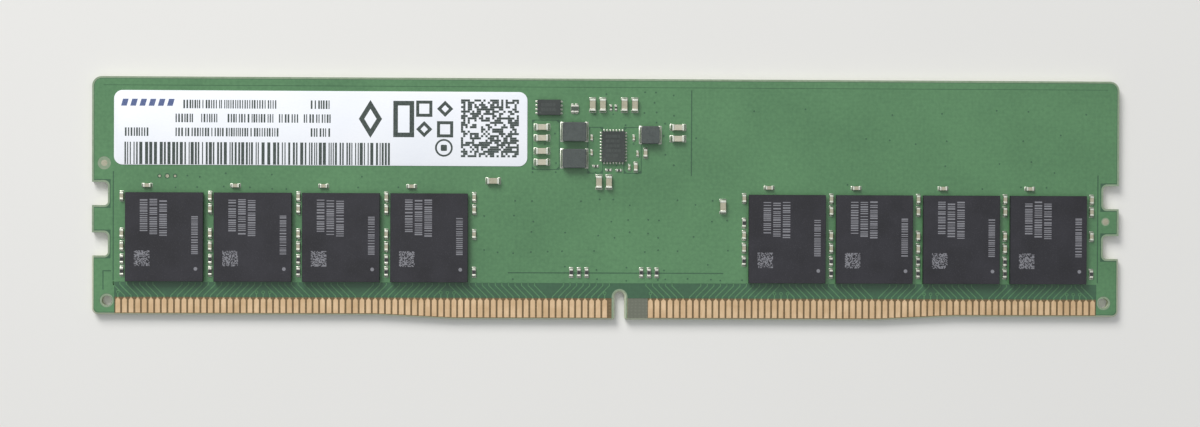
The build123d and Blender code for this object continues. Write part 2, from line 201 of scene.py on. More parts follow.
class Solids:
    """The closed solids that make up one piece, in millimetres."""

    def __init__(self, matrix=None):
        self.matrix = matrix or Matrix.Identity(4)
        self.corners = []
        self.faces = []
        self.paint = []

    def put(self, corners, faces, paint=0):
        """Add one closed solid. paint is the index of its material."""
        first = len(self.corners)
        self.corners += [self.matrix @ Vector(corner) for corner in corners]
        self.faces += [[first + index for index in face] for face in faces]
        self.paint += [paint] * len(faces)

    def loft(self, outline, levels, paint=0):
        """A solid whose section is outline, drawn in by each level's inset at that level's height."""
        count = len(outline)
        corners = []
        for z, inset in levels:
            corners += [(x, y, z) for x, y in moved_in(outline, inset)]
        top = count * (len(levels) - 1)
        faces = [list(range(count))[::-1], [top + index for index in range(count)]]
        for base in range(0, top, count):
            faces += ring_faces(base, base + count, count)
        self.put(corners, faces, paint)

    def slab(self, outline, z0, z1, bevel=0.0, paint=0):
        """A flat solid, with its upper edge bevelled if a bevel is given."""
        if bevel:
            self.loft(outline, [(z0, 0), (z1 - bevel, 0), (z1, bevel)], paint)
        else:
            self.loft(outline, [(z0, 0), (z1, 0)], paint)

    def pierced(self, outline, holes, z0, z1, bevel, paint=0):
        """A flat solid with holes through it, and its upper edges bevelled."""
        loops = [list(outline)] + [list(hole)[::-1] for hole in holes]
        lower = [point for loop in loops for point in loop]
        upper = [point for loop in loops for point in moved_in(loop, bevel)]
        count = len(lower)
        rings = (lower, z0), (lower, z1 - bevel), (upper, z1)
        corners = [(x, y, z) for ring, z in rings for x, y in ring]
        flat = tessellate_polygon([[Vector((x, y, 0)) for x, y in loop] for loop in loops])
        faces = [list(face) for face in flat]
        faces += [[2 * count + index for index in face][::-1] for face in flat]
        first = 0
        for loop in loops:
            for base in (first, first + count):
                faces += ring_faces(base, base + count, len(loop))
            first += len(loop)
        self.put(corners, faces, paint)

    def track(self, line, width, z0, z1, bevel, paint):
        """A raised copper track along an open line."""
        left, right = beside(line, width / 2), beside(line, -width / 2)
        top_left, top_right = beside(line, width / 2 - bevel), beside(line, bevel - width / 2)
        corners, faces = [], []
        for a, b, c, d in zip(right, left, top_left, top_right):
            corners += [(*a, z0), (*b, z0), (*c, z1), (*d, z1)]
        last = 4 * (len(line) - 1)
        for base in range(0, last, 4):
            faces += ring_faces(base, base + 4, 4)
        faces += [[3, 2, 1, 0], [last, last + 1, last + 2, last + 3]]
        self.put(corners, faces, paint)

    def fillet(self, half_width, reach, height):
        """Solder that climbs an end wall at x = 0 to height, and runs out to x = reach at z = 0."""
        across = (-1.0, -0.82, -0.4, 0.4, 0.82, 1.0)      # shares of the half width
        rise = (0.0, 0.8, 1.0, 1.0, 0.8, 0.0)             # shares of the height, at those places
        steps = 6
        corners, faces = [], []
        for step in range(steps + 1):
            along = step / steps
            curve = (1 - along) ** 2.2
            for share, lift in zip(across, rise):
                spread = half_width * (1 + 0.12 * along) * (1 if step < steps else 0.86)
                corners.append((reach * along, share * spread, height * curve * lift))
        wide = len(across)
        for step in range(steps):
            for index in range(wide - 1):
                a = step * wide + index
                faces.append([a, a + wide, a + wide + 1, a + 1])
        rim = [step * wide for step in range(steps + 1)]
        far = [steps * wide + index for index in range(1, wide)]
        back = [step * wide + wide - 1 for step in range(steps - 1, -1, -1)]
        faces.append((rim + far + back)[::-1])
        faces.append(list(range(wide)))
        self.put(corners, faces)


def add_object(name, data):
    """A new object, linked to the scene."""
    made = bpy.data.objects.new(name, data)
    bpy.context.scene.collection.objects.link(made)
    return made


def make_piece(name, solids, materials, replaced=(), smooth_angle=20):
    """Make a piece of the object from closed solids, hang it under the root body and hide the CAD
    nodes it replaces.
    """
    mesh = bpy.data.meshes.new(name)
    corners = [corner * MM for corner in solids.corners]
    mesh.from_pydata(corners, [], solids.faces)
    for material in materials:
        mesh.materials.append(material)
    mesh.polygons.foreach_set("material_index", solids.paint)
    shell = bmesh.new()
    shell.from_mesh(mesh)
    bmesh.ops.recalc_face_normals(shell, faces=shell.faces)
    shell.to_mesh(mesh)
    shell.free()
    mesh.shade_smooth()
    mesh.set_sharp_from_angle(angle=math.radians(smooth_angle))
    piece = add_object(name, mesh)
    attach(piece, "root")
    if replaced:
        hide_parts(*replaced)


# ---- Materials ----


class Surface:
    """A Principled material, with short calls for the nodes that vary it."""

    def __init__(self, name, metallic=0.0, specular=0.5):
        self.material = bpy.data.materials.new(name)
        self.material.use_nodes = True
        self.tree = self.material.node_tree
        self.shader = self.tree.nodes["Principled BSDF"]
        self.shader.inputs["Metallic"].default_value = metallic
        self.shader.inputs["Specular IOR Level"].default_value = specular
        self.place = self.tree.nodes.new("ShaderNodeTexCoord").outputs["Object"]

    def feed(self, socket, value):
        """Give a socket a number, a linear colour or another node's output."""
        if isinstance(value, bpy.types.NodeSocket):
            self.tree.links.new(value, socket)
        else:
            socket.default_value = value

    def node(self, kind, settings=None, **inputs):
        """A node of this kind. An input is a number, a colour or another node's output."""
        made = self.tree.nodes.new("ShaderNode" + kind)
        for name, value in (settings or {}).items():
            setattr(made, name, value)
        for name, value in inputs.items():
            self.feed(made.inputs[name.replace("_", " ")], value)
        return made

    def noise(self, size, detail, stretch=(1, 1, 1)):
        """Soft random patches about size across, from 0 to 1."""
        place = self.node("Mapping", Vector=self.place, Scale=stretch).outputs["Vector"]
        made = self.node("TexNoise", Vector=place, Scale=1 / (size * MM), Detail=detail)
        return self.spread(made.outputs["Fac"], 0.0, 1.0, 0.3, 0.7)

    def cells(self, size):
        """Random grains about size across, each with its own value from 0 to 1."""
        made = self.node("TexVoronoi", Vector=self.place, Scale=1 / (size * MM))
        return self.node("SeparateColor", Color=made.outputs["Color"]).outputs[0]

    def bands(self, axis, period, wobble):
        """Ripples across one axis, from 0 to 1."""
        wave = {"wave_type": "BANDS", "bands_direction": axis}
        scale = 2 * math.pi / (20 * period * MM)
        made = self.node("TexWave", wave, Vector=self.place, Scale=scale, Distortion=wobble)
        return made.outputs["Fac"]

    def weave(self, warp, weft, wobble):
        """Woven glass cloth, from two thread spacings."""
        return self.math("MULTIPLY", self.bands("X", warp, wobble), self.bands("Y", weft, wobble))

    def math(self, operation, first, second=0.0):
        """Arithmetic on two values."""
        made = self.node("Math", {"operation": operation})
        self.feed(made.inputs[0], first)
        self.feed(made.inputs[1], second)
        return made.outputs[0]

    def total(self, *parts):
        """The sum of values, each times its own share."""
        result, *others = [self.math("MULTIPLY", value, share) for value, share in parts]
        for other in others:
            result = self.math("ADD", result, other)
        return result

    def spread(self, value, low, high, start=0.0, end=1.0):
        """A value that ran from start to end, made to run from low to high."""
        made = self.node("MapRange", Value=value)
        limits = {"From Min": start, "From Max": end, "To Min": low, "To Max": high}
        for name, limit in limits.items():
            made.inputs[name].default_value = limit
        return made.outputs["Result"]

    def blend(self, value, low, high):
        """A colour between two, by value. Each is 0 to 255 screen values or another node's output."""
        made = self.node("Mix", {"data_type": "RGBA"})
        self.feed(made.inputs[0], value)
        for socket, colour in ((made.inputs[6], low), (made.inputs[7], high)):
            self.feed(socket, srgb(*colour) if isinstance(colour, tuple) else colour)
        return made.outputs[2]

    def axis(self, name, source=None):
        """One coordinate of the place, in metres, or of another vector."""
        return self.node("SeparateXYZ", Vector=source or self.place).outputs[name]

    def finish(self, colour, roughness, height=None, depth=0.0):
        """Connect the colour, the roughness and a bump whose relief is depth millimetres."""
        self.tree.links.new(colour, self.shader.inputs["Base Color"])
        self.tree.links.new(roughness, self.shader.inputs["Roughness"])
        if height:
            bump = self.node("Bump", Height=height, Distance=depth * MM)
            self.tree.links.new(bump.outputs["Normal"], self.shader.inputs["Normal"])
        return self.material


def mask_material(name, light, dark):
    """Solder mask: glossy green lacquer with slow colour drift, over a faint glass weave."""
    surface = Surface(name)
    weave = surface.weave(0.52, 0.44, 1.6)
    drift = surface.noise(14, 3)
    mottle = surface.noise(0.45, 4)
    tone = surface.total((drift, 0.5), (mottle, 0.42), (weave, 0.08))
    colour = surface.blend(tone, dark, light)
    height = surface.math("ADD", surface.math("MULTIPLY", weave, 0.35), surface.noise(0.35, 4))
    return surface.finish(colour, surface.spread(mottle, 0.30, 0.44), height, 0.004)


def laminate_material():
    """Glass and epoxy: fibre layers on the cut edges, and a woven face that is brown between the
    contacts, a painted reflection of the gold with painted shade, grey where no contact is, and pale
    in the rim that mask and copper leave bare, a painted highlight on its bevelled edge."""
    surface = Surface("glass_epoxy_laminate")
    layers = surface.bands("Z", 0.16, 1.5)
    fibres = surface.noise(0.12, 4, (0.25, 0.25, 1))
    cut = surface.blend(layers, (164, 170, 146), (204, 210, 186))
    cut = surface.blend(fibres, cut, (190, 198, 172))
    weave = surface.weave(0.48, 0.42, 2.0)
    # Brown between the contacts: the laminate's tone with a painted reflection of the gold contacts
    # and painted shade from them.
    painted_reflection_brown = surface.blend(weave, (108, 88, 56), (126, 106, 70))
    grey = surface.blend(weave, (104, 108, 94), (114, 117, 103))
    # Pale rim: a painted highlight on the bevelled edge of the bare laminate, round the contact
    # window and the key notch.
    rim = surface.blend(fibres, (124, 144, 116), (142, 160, 134))

    def away_from(axis, middle):
        return surface.math("ABSOLUTE", surface.math("SUBTRACT", surface.axis(axis), middle * MM))

    def within(distance, limit):
        return surface.math("LESS_THAN", distance, limit * MM)

    face = surface.blend(within(away_from("X", BARE_MIDDLE), BARE_HALF), painted_reflection_brown, grey)
    window = surface.math("MULTIPLY", within(away_from("X", 0.0), WINDOW_HALF),
                          within(surface.axis("Y"), at_height(CONTACT_LINE)))
    at_key = within(away_from("X", KEY_X), KEY_HALF + KEY_RIM)
    window = surface.math("SUBTRACT", window, surface.math("MULTIPLY", window, at_key))
    # Outside the contact window and round the key notch the face takes the painted rim highlight.
    face = surface.blend(window, rim, face)
    normal = surface.node("NewGeometry").outputs["Normal"]
    faces_up = surface.math("ABSOLUTE", surface.axis("Z", normal))
    flat = surface.spread(faces_up, 0.0, 1.0, 0.8, 0.95)
    height = surface.math("ADD", surface.math("MULTIPLY", weave, 0.6), fibres)
    colour = surface.blend(flat, cut, face)
    return surface.finish(colour, surface.spread(fibres, 0.45, 0.68), height, 0.008)


def gold_material():
    """Hard gold on the edge contacts, with fine insertion marks along them."""
    surface = Surface("contact_gold_plate", metallic=1.0)
    marks = surface.noise(0.05, 3, (1, 0.06, 1))
    patches = surface.noise(2.2, 3)
    colour = surface.blend(patches, (206, 176, 138), (232, 203, 166))
    colour = surface.blend(surface.math("MULTIPLY", marks, 0.4), colour, (196, 160, 120))
    return surface.finish(colour, surface.spread(marks, 0.32, 0.48), marks, 0.0015)


def metal_material(name, light, dark, rough, grain=0.12):
    """Tinned or soldered metal with a fine uneven skin."""
    surface = Surface(name, metallic=1.0)
    skin = surface.noise(grain, 4)
    patches = surface.noise(grain * 6, 2)
    tone = surface.total((skin, 0.5), (patches, 0.5))
    colour = surface.blend(tone, dark, light)
    return surface.finish(colour, surface.spread(skin, *rough), skin, 0.003)


def mould_material(name, light, dark, speck):
    """Black moulding compound: matt, finely pitted, with pale filler specks."""
    surface = Surface(name, specular=0.45)
    pits = surface.noise(0.06, 4)
    drift = surface.noise(3.5, 3)
    specks = surface.spread(surface.cells(0.07), 0.0, 0.30, 0.86, 1.0)
    colour = surface.blend(drift, dark, light)
    colour = surface.blend(specks, colour, speck)
    return surface.finish(colour, surface.spread(pits, 0.42, 0.62), pits, 0.006)


def uneven_material(name, low, high, grain, rough, depth, specular):
    """Laser marks or print: one fine unevenness varies the tone, the roughness and the relief."""
    surface = Surface(name, specular=specular)
    patches = surface.noise(grain, 4)
    colour = surface.blend(patches, low, high)
    return surface.finish(colour, surface.spread(patches, *rough), patches, depth)


def grained_material(name, light, dark, grain, rough, depth=0.004):
    """Ceramic, pressed powder or resin: fine grains of slightly different tones."""
    surface = Surface(name)
    grains = surface.cells(grain)
    cloud = surface.noise(grain * 8, 3)
    tone = surface.total((grains, 0.5), (cloud, 0.5))
    colour = surface.blend(tone, dark, light)
    return surface.finish(colour, surface.spread(cloud, *rough), grains, depth)


def paper_material():
    """Coated label paper: white with a faint cool tint and fine fibres."""
    surface = Surface("label_coated_paper", specular=0.4)
    fibres = surface.noise(0.25, 5, (1, 2.5, 1))
    cloud = surface.noise(9, 2)
    colour = surface.blend(cloud, (242, 245, 252), (249, 251, 255))
    colour = surface.blend(surface.math("MULTIPLY", fibres, 0.25), colour, (232, 236, 244))
    return surface.finish(colour, surface.spread(fibres, 0.38, 0.52), fibres, 0.004)


LASER_GRAIN = 0.05, (0.6, 0.8), 0.004, 0.5          # moulding compound burnt to a paler, rougher grey
PRINT_GRAIN = 0.18, (0.42, 0.6), 0.002, 0.3         # thermal print that the paper shows through
MASK_OVER_COPPER = mask_material("solder_mask_over_copper", (92, 141, 95), (70, 115, 76))
MASK_OVER_GLASS = mask_material("solder_mask_over_glass", (60, 102, 72), (45, 83, 57))
LAMINATE = laminate_material()
GOLD = gold_material()
TIN = metal_material("tinned_terminal", (228, 230, 218), (196, 198, 186), (0.38, 0.54))
SOLDER = metal_material("reflowed_solder", (222, 224, 212), (186, 190, 178), (0.36, 0.52), 0.2)
PAD_TIN = metal_material("tinned_pad", (188, 186, 164), (152, 150, 130), (0.36, 0.5))
COPPER = metal_material("winding_copper", (206, 132, 96), (176, 100, 70), (0.3, 0.45))
SILICON = grained_material("silicon_die", (96, 98, 108), (74, 76, 86), 0.2, (0.25, 0.4))
MOULD = mould_material("mould_epoxy", (40, 39, 46), (27, 26, 32), (78, 77, 84))
CONTROLLER_MOULD = mould_material("controller_epoxy", (62, 68, 65), (46, 52, 50), (92, 96, 94))
LASER = uneven_material("laser_marking", (114, 114, 120), (142, 142, 148), *LASER_GRAIN)
FAINT_LASER = uneven_material("faint_laser_marking", (68, 74, 71), (82, 88, 85), *LASER_GRAIN)
SUBSTRATE = grained_material("package_substrate", (74, 88, 56), (48, 62, 40), 0.1, (0.45, 0.6))
CORE = grained_material("pressed_iron_core", (86, 93, 91), (62, 69, 67), 0.09, (0.5, 0.7), 0.01)
CERAMIC = grained_material("capacitor_ceramic", (184, 180, 158), (158, 154, 132), 0.05, (0.38, 0.52))
PALE_CERAMIC = grained_material("pale_ceramic", (202, 198, 178), (178, 174, 154), 0.05, (0.38, 0.52))
ALUMINA = grained_material("resistor_ceramic", (222, 220, 210), (196, 194, 184), 0.05, (0.45, 0.6))
GLAZE = grained_material("resistor_overglaze", (52, 54, 53), (36, 38, 38), 0.08, (0.25, 0.42))
ARRAY_GLAZE = grained_material("array_overglaze", (78, 90, 78), (60, 72, 61), 0.08, (0.3, 0.45))
PAPER = paper_material()
GLUE = grained_material("label_glue", (212, 210, 192), (186, 184, 164), 0.2, (0.3, 0.5))
INK = uneven_material("label_print", (52, 62, 58), (84, 94, 90), *PRINT_GRAIN)
BLUE_INK = uneven_material("label_blue_print", (78, 92, 138), (104, 118, 158), *PRINT_GRAIN)


def paint_nodes(material, *names):
    """Give CAD nodes that stay as they are their material."""
    for name in names:
        mesh = frame["nodes"][name].data
        mesh.materials.clear()
        mesh.materials.append(material)


# ---- Board surface ----

RELIEF_LOW = FRONT - 0.006       # raised parts of the mask start a little inside it
RELIEF_HIGH = FRONT + 0.014      # top of a track under the mask
TRACK_BEVEL = 0.012
TRACK_WIDTH = 0.13
POUR_GAP = 0.14                  # gap between two areas of copper
PLANE_INSET = 0.3                # from the board's edge to the large copper area
NOTCH_HEIGHTS = (9.58, 16.1)     # middles of the ejector notches, above the contact edge
FAN_REACH = 1.45                 # how far the tracks from the contacts lean over
VIA_RADIUS = 0.24
WELL_RADIUS = 0.11
OVER_COPPER, OVER_GLASS = 0, 1   # material indices of the board relief


def board_side(rear):
    """Solids drawn on the front, or turned over onto the rear face."""
    flip = Matrix.Translation((0, 0, FRONT)) @ Matrix.Scale(-1, 4, (0, 0, 1))
    return Solids(flip if rear else None)


def gap_box(x0, y0, x1, y1):
    """The outline of a gap in the copper, or of a clearing round a part."""
    return heights(rectangle(x0, y0, x1, y1, min(0.06, (x1 - x0) / 3, (y1 - y0) / 3), 2))


def pour(solids, outline, holes=()):
    """A copper area under the mask, with holes."""
    solids.pierced(outline, holes, RELIEF_LOW, RELIEF_HIGH, TRACK_BEVEL, OVER_COPPER)


def pour_box(solids, x0, y0, x1, y1):
    """A copper area with cut corners."""
    cut = min(0.35, (y1 - y0) / 4, (x1 - x0) / 4)
    pour(solids, heights([(x0 + cut, y0), (x1 - cut, y0), (x1, y0 + cut), (x1, y1 - cut),
                          (x1 - cut, y1), (x0 + cut, y1), (x0, y1 - cut), (x0, y0 + cut)]))


def plane_outline():
    """The outline of the large copper area: it steps round the ejector notches and ends above the
    contacts, with a tab down to each lower corner."""
    edge, notch, beside_notch = HALF_LENGTH - PLANE_INSET, HALF_LENGTH - 2.4, 1.85
    tab, tab_foot, foot_radius, top_radius = 63.8, 0.82, 0.55, 0.95
    right = [(tab, 4.72), (tab, tab_foot),
             *arc(edge - foot_radius, tab_foot + foot_radius, foot_radius, -90)]
    for middle in NOTCH_HEIGHTS:
        low, high = middle - beside_notch, middle + beside_notch
        right += [(edge, low), (notch, low), (notch, high), (edge, high)]
    right += arc(edge - top_radius, HEIGHT - PLANE_INSET - top_radius, top_radius, 0)
    left = [(-x, y) for x, y in reversed(right)]
    return heights(right + left)


def via(solids, x, y):
    """A covered via: a low ring with a dark well in it."""
    ring_top, well_top = RELIEF_HIGH + 0.006, RELIEF_HIGH + 0.002
    slope, steps = 0.03, 10
    rings = ((VIA_RADIUS, RELIEF_LOW), (VIA_RADIUS - slope, ring_top),
             (WELL_RADIUS + slope, ring_top), (WELL_RADIUS, RELIEF_LOW))
    corners, faces = [], []
    for radius, z in rings:
        corners += [(px, py, z) for px, py in circle(x, y, radius, steps)]
    for ring in range(len(rings)):
        faces += ring_faces(ring * steps, (ring + 1) % len(rings) * steps, steps)
    solids.put(corners, faces, OVER_COPPER)
    solids.slab(circle(x, y, WELL_RADIUS + 0.01, steps), RELIEF_LOW, well_top, paint=OVER_GLASS)


def bundle(solids, line, count=1, pitch=0.26):
    """Tracks under the mask, side by side along one line of (x, height) points."""
    for index in range(count):
        middle = beside(heights(line), (index - (count - 1) / 2) * pitch)
        solids.track(middle, TRACK_WIDTH, RELIEF_LOW, RELIEF_HIGH, TRACK_BEVEL, OVER_COPPER)


def contact_fan(solids, boxes, rng):
    """Tracks that leave the contacts upwards. They lean over in parallel groups and run under the
    copper area. Where two groups lean towards each other they stay short and end in vias."""
    start, bend, short_end, via_height, far_end = CONTACT_LINE - 0.1, 2.95, 3.25, 3.42, 4.78
    lean, remaining, first = -1, rng.randint(5, 9), True
    for low, high in boxes:
        x = (low.x + high.x) / 2
        closing = (lean > 0 and remaining <= 2) or (lean < 0 and first)
        if closing:
            bundle(solids, [(x, start), (x, short_end)])
            via(solids, x, at_height(via_height))
        else:
            end = x + lean * FAN_REACH
            bundle(solids, [(x, start), (x, bend), (end, bend + FAN_REACH), (end, far_end)])
        remaining -= 1
        first = False
        if not remaining:
            lean, remaining, first = -lean, rng.randint(7, 15), True


def clear_of(x, y, boxes, margin):
    """True if a place is outside every box by a margin."""
    return not any(low.x - margin < x < high.x + margin and low.y - margin < y < high.y + margin
                   for low, high in boxes)


def via_field(solids, area, pitch, share, boxes, rng, margin=0.45):
    """Vias on a loose grid over an area, clear of the parts."""
    x0, y0, x1, y1 = area
    columns, rows = int((x1 - x0) / pitch), int((y1 - y0) / pitch)
    for column in range(columns + 1):
        for row in range(rows + 1):
            x = x0 + column * pitch + rng.uniform(-0.2, 0.2) * pitch
            y = at_height(y0 + row * pitch + rng.uniform(-0.2, 0.2) * pitch)
            if rng.random() < share and clear_of(x, y, boxes, margin):
                via(solids, x, y)


PART_NODES = [kind + "_terminals" for kind in (
    "input_capacitor", "output_capacitor", "decoupling_capacitor", "tiny_capacitor",
    "resistor", "tiny_resistor", "resistor_array", "inductor")]
PART_NODES += ["power_ic_leads", "hub_ic_leads", "bare_pads"]


def front_relief():
    """Copper areas, tracks and vias that show through the front mask."""
    rng = random.Random(FRONT_SEED)
    solids = board_side(rear=False)
    boxes = [LABEL_BOX, *PACKAGE_BOXES, node_box("power_ic_body"), node_box("hub_ic_body")]
    for node in PART_NODES:
        boxes += solids_of(node)
    for side in ("left", "right"):
        contact_fan(solids, solids_of("contacts_front_" + side), rng)
    gaps = ((-13.0, 5.97, 15.0, 5.97 + POUR_GAP),       # above the key notch
            (-65.2, 30.1, 65.2, 30.15),                 # along the top edge
            (10.7, 18.7, 10.7 + POUR_GAP, 29.8),        # right of the power section
            (-64.0, 4.9, -63.86, 19.0), (63.86, 4.9, 64.0, 19.0))      # beside the outer packages
    hook = [(-65.3, 3.7), (-65.16, 3.7), (-65.16, 6.06), (-64.2, 6.06), (-64.2, 6.2), (-65.3, 6.2)]
    seams = [gap_box(*gap) for gap in gaps] + [heights(hook)]
    for low, high in solids_of("bare_pads"):
        radius = (high.x - low.x) / 2
        clearing = radius + (0.47 if radius > 0.4 else 0.14)      # wide round the fiducials
        seams.append(circle((low.x + high.x) / 2, (low.y + high.y) / 2, clearing, 20))
    for x, y, z in TOOLING_HOLES:
        seams.append(circle(x, y, TOOLING_RADIUS + 0.27, 24))
    islands = ((-9.95, 19.4, -6.35, 25.9), (-2.75, 18.95, -0.7, 25.0), (1.95, 18.95, 4.3, 25.0))
    for x0, y0, x1, y1 in islands:
        seams.append(gap_box(x0, y0, x1, y1))
        gap = POUR_GAP * 0.7
        pour_box(solids, x0 + gap, y0 + gap, x1 - gap, y1 - gap)
    pour(solids, plane_outline(), seams)
    fields = (((-16.2, 6.8, 15.4, 17.2), 2.1, 0.5),     # middle
              ((-61.5, 5.2, 61.5, 5.2), 1.0, 0.35),     # above the contacts
              ((11.6, 20.0, 62.8, 29.4), 3.6, 0.35),    # upper right
              ((17.0, 17.4, 62.8, 18.6), 1.6, 0.4),     # above the right packages
              ((-62.5, 16.9, -18.0, 18.9), 1.6, 0.4))   # above the left packages
    for area, pitch, share in fields:
        via_field(solids, area, pitch, share, boxes, rng)
    via_field(solids, (-9.6, 18.9, 10.2, 29.4), 1.3, 0.35, boxes, rng, 0.3)     # power section
    make_piece("mask_relief_front", solids, [MASK_OVER_COPPER, MASK_OVER_GLASS])


def rear_relief():
    """The rear has no parts: track bundles, copper areas, and the vias under every package."""
    rng = random.Random(REAR_SEED)
    solids = board_side(rear=True)
    for side in ("left", "right"):
        contact_fan(solids, solids_of("contacts_rear_" + side), rng)
    for package in PACKAGE_BOXES:
        middle = (package[0].x + package[1].x) / 2
        for column in (-3.6, -2.8, -2.0, -1.2, 1.2, 2.0, 2.8, 3.6):
            for row in range(12):
                if rng.random() < 0.8:
                    via(solids, middle + column, at_height(6.1 + row * 0.8))
        pour_box(solids, middle - 5.1, 5.1, middle + 5.1, 5.7)
        pour_box(solids, middle - 0.8, 6.0, middle + 0.8, 15.6)
    for side in (-1, 1):
        for row, height in enumerate((17.3, 18.7, 20.1)):
            bend = 8.0 - 0.3 * row
            line = [(side * (bend - 5.0), height - 5.0), (side * bend, height), (side * 61.5, height)]
            bundle(solids, line, 4)
        line = [(side * 2.6, 4.6), (side * 2.6, 7.0), (side * 8.5, 12.9), (side * 16.2, 12.9)]
        bundle(solids, line, 6)
        for near, far, low, high in ((11.5, 63.4, 21.2, 29.9), (1.0, 11.3, 21.2, 29.9),
                                     (63.7, 66.1, 18.5, 29.9), (63.8, 66.1, 3.7, 7.2)):
            x0, x1 = sorted((side * near, side * far))
            pour_box(solids, x0, low, x1, high)
    pour_box(solids, -HALF_LENGTH + 0.9, 30.1, HALF_LENGTH - 0.9, HEIGHT - 0.45)
    for side in (-1, 1):
        x0, x1 = sorted((side * 1.7, side * 62.5))
        via_field(solids, (x0, 21.8, x1, 29.4), 2.6, 0.45, [], rng)
    via_field(solids, (-1.3, 9.0, 1.3, 20.0), 1.3, 0.7, [], rng)
    make_piece("mask_relief_rear", solids, [MASK_OVER_COPPER, MASK_OVER_GLASS])


def contact_outline(low, high):
    """A contact's outline, with the narrow neck that runs on under the mask."""
    middle, radius = (low.x + high.x) / 2, (high.x - low.x) / 2
    neck, tip, steps = 0.1, at_height(CONTACT_LINE + 0.06), 4
    turns = [math.acos(neck / radius) * step / steps for step in range(steps + 1)]
    rounded = [(radius * math.cos(turn), high.y - radius + radius * math.sin(turn)) for turn in turns]
    right = [(middle + reach, y) for reach, y in rounded]
    left = [(middle - reach, y) for reach, y in reversed(rounded)]
    top = [(middle + neck, tip), (middle - neck, tip)]
    return [(low.x, low.y), (high.x, low.y), *right, *top, *left]


def build_contacts():
    """The four rows of gold contacts, with softened edges and their necks."""
    soft = 0.012
    for face in ("front", "rear"):
        for side in ("left", "right"):
            node = f"contacts_{face}_{side}"
            solids = board_side(rear=face == "rear")
            for low, high in solids_of(node):
                thick = high.z - low.z
                solids.slab(contact_outline(low, high), FRONT - thick, FRONT - 0.003, soft)
            make_piece(node + "_plated", solids, [GOLD], [node])


# ---- Packages and their marks ----

MARK_RISE = 0.004
MARK_SINK = 0.01


def mark(solids, outline, z, paint=0):
    """One thin printed or laser-marked patch on a surface at height z."""
    solids.slab(outline, z - MARK_SINK, z + MARK_RISE, paint=paint)


def tick_row(solids, start, length, base, size, z, rng, upright=True):
    """Strokes of one height and uneven spacing, which stand for a line of print and spell nothing.
    They run along X, or along Y if upright is False."""
    along = start
    while along < start + length:
        stroke = size * rng.choice((0.12, 0.15, 0.2))
        if upright:
            mark(solids, rectangle(along, base, along + stroke, base + size), z)
        else:
            mark(solids, rectangle(base, along, base + size, along + stroke), z)
        along += stroke + size * rng.choice((0.1, 0.13, 0.16, 0.26))


def speckled_square(solids, x, y, size, cells, z, rng, share):
    """A square of random cells that codes nothing. share of the cells are filled."""
    step = size / cells
    for row in range(cells):
        start = None
        for column in range(cells + 1):
            filled = column < cells and rng.random() < share
            if filled and start is None:
                start = column
            if start is not None and not filled:
                y0 = y + row * step
                mark(solids, rectangle(x + start * step, y0, x + column * step, y0 + step * 0.96), z)
                start = None


def build_memory_marks():
    """Laser marks on each memory package, and its pin-1 dot."""
    for number, (low, high) in enumerate(PACKAGE_BOXES, start=1):
        rng = random.Random(PACKAGE_SEED + number)
        solids = Solids()
        x, y, z = (low.x + high.x) / 2 + 0.1, (low.y + high.y) / 2, high.z
        for column, length in ((-3.2, 4.1), (-1.95, 4.5), (-0.7, 4.7)):
            tick_row(solids, y + 4.85 - length, length, x + column, 0.98, z, rng, upright=False)
        tick_row(solids, y - 2.2, 4.9, x + 3.4, 0.85, z, rng, upright=False)
        speckled_square(solids, x - 3.95, y - 3.75, 2.0, 18, z, rng, 0.53)
        mark(solids, circle(x + 3.95, y - 4.1, 0.24), z)
        make_piece(f"memory_marks_{number}", solids, [LASER])


def build_controller_marks():
    """Faint marks on the power-management package and the hub."""
    rng = random.Random(CONTROLLER_SEED)
    solids = Solids()
    row_pitch, stroke_height = 0.62, 0.4
    for node, dot in (("power_ic_body", 0.14), ("hub_ic_body", 0.12)):
        low, high = node_box(node)
        rows = int((high.y - low.y - 0.7) / row_pitch)
        for row in range(rows):
            base = high.y - 0.85 - row * row_pitch
            length = (high.x - low.x) * rng.uniform(0.5, 0.68)
            tick_row(solids, low.x + 0.5, length, base, stroke_height, high.z, rng)
        mark(solids, circle(low.x + 0.35, low.y + 0.32, dot), high.z)
    make_piece("controller_marks", solids, [FAINT_LASER])


# ---- Small parts ----

PAD_THICKNESS = 0.03


def turned(box, along_y):
    """A matrix from a part's own place, its length along X, to where its box stands on the board."""
    low, high = box
    middle = Matrix.Translation(((low.x + high.x) / 2, (low.y + high.y) / 2, FRONT))
    return middle @ Matrix.Rotation(math.radians(90) if along_y else 0, 4, "Z")


def rounded_levels(z0, z1, radius):
    """Levels for a loft with softened lower and upper edges."""
    return [(z0, radius * 0.7), (z0 + radius * 0.5, 0.0), (z1 - radius, 0.0),
            (z1 - radius * 0.3, radius * 0.3), (z1, radius)]


def solder_end(solids, place, side, length, width, height, reach, climb):
    """A pad and the solder that climbs from it to one end of a part."""
    turn = Matrix.Rotation(math.pi if side < 0 else 0, 4, "Z")
    solids.matrix = place @ turn @ Matrix.Translation((length / 2 - 0.01, 0, 0))
    solids.fillet(width * 0.52, reach, height * climb)
    pad = rectangle(-reach * 0.9, -width * 0.57, reach * 1.02, width * 0.57, min(0.08, reach / 3), 2)
    solids.slab(pad, 0, PAD_THICKNESS, 0.008)


def make_solder(name, solids):
    """The solder of like parts. It is smooth over its whole curve."""
    make_piece(name + "_solder", solids, [SOLDER], smooth_angle=60)


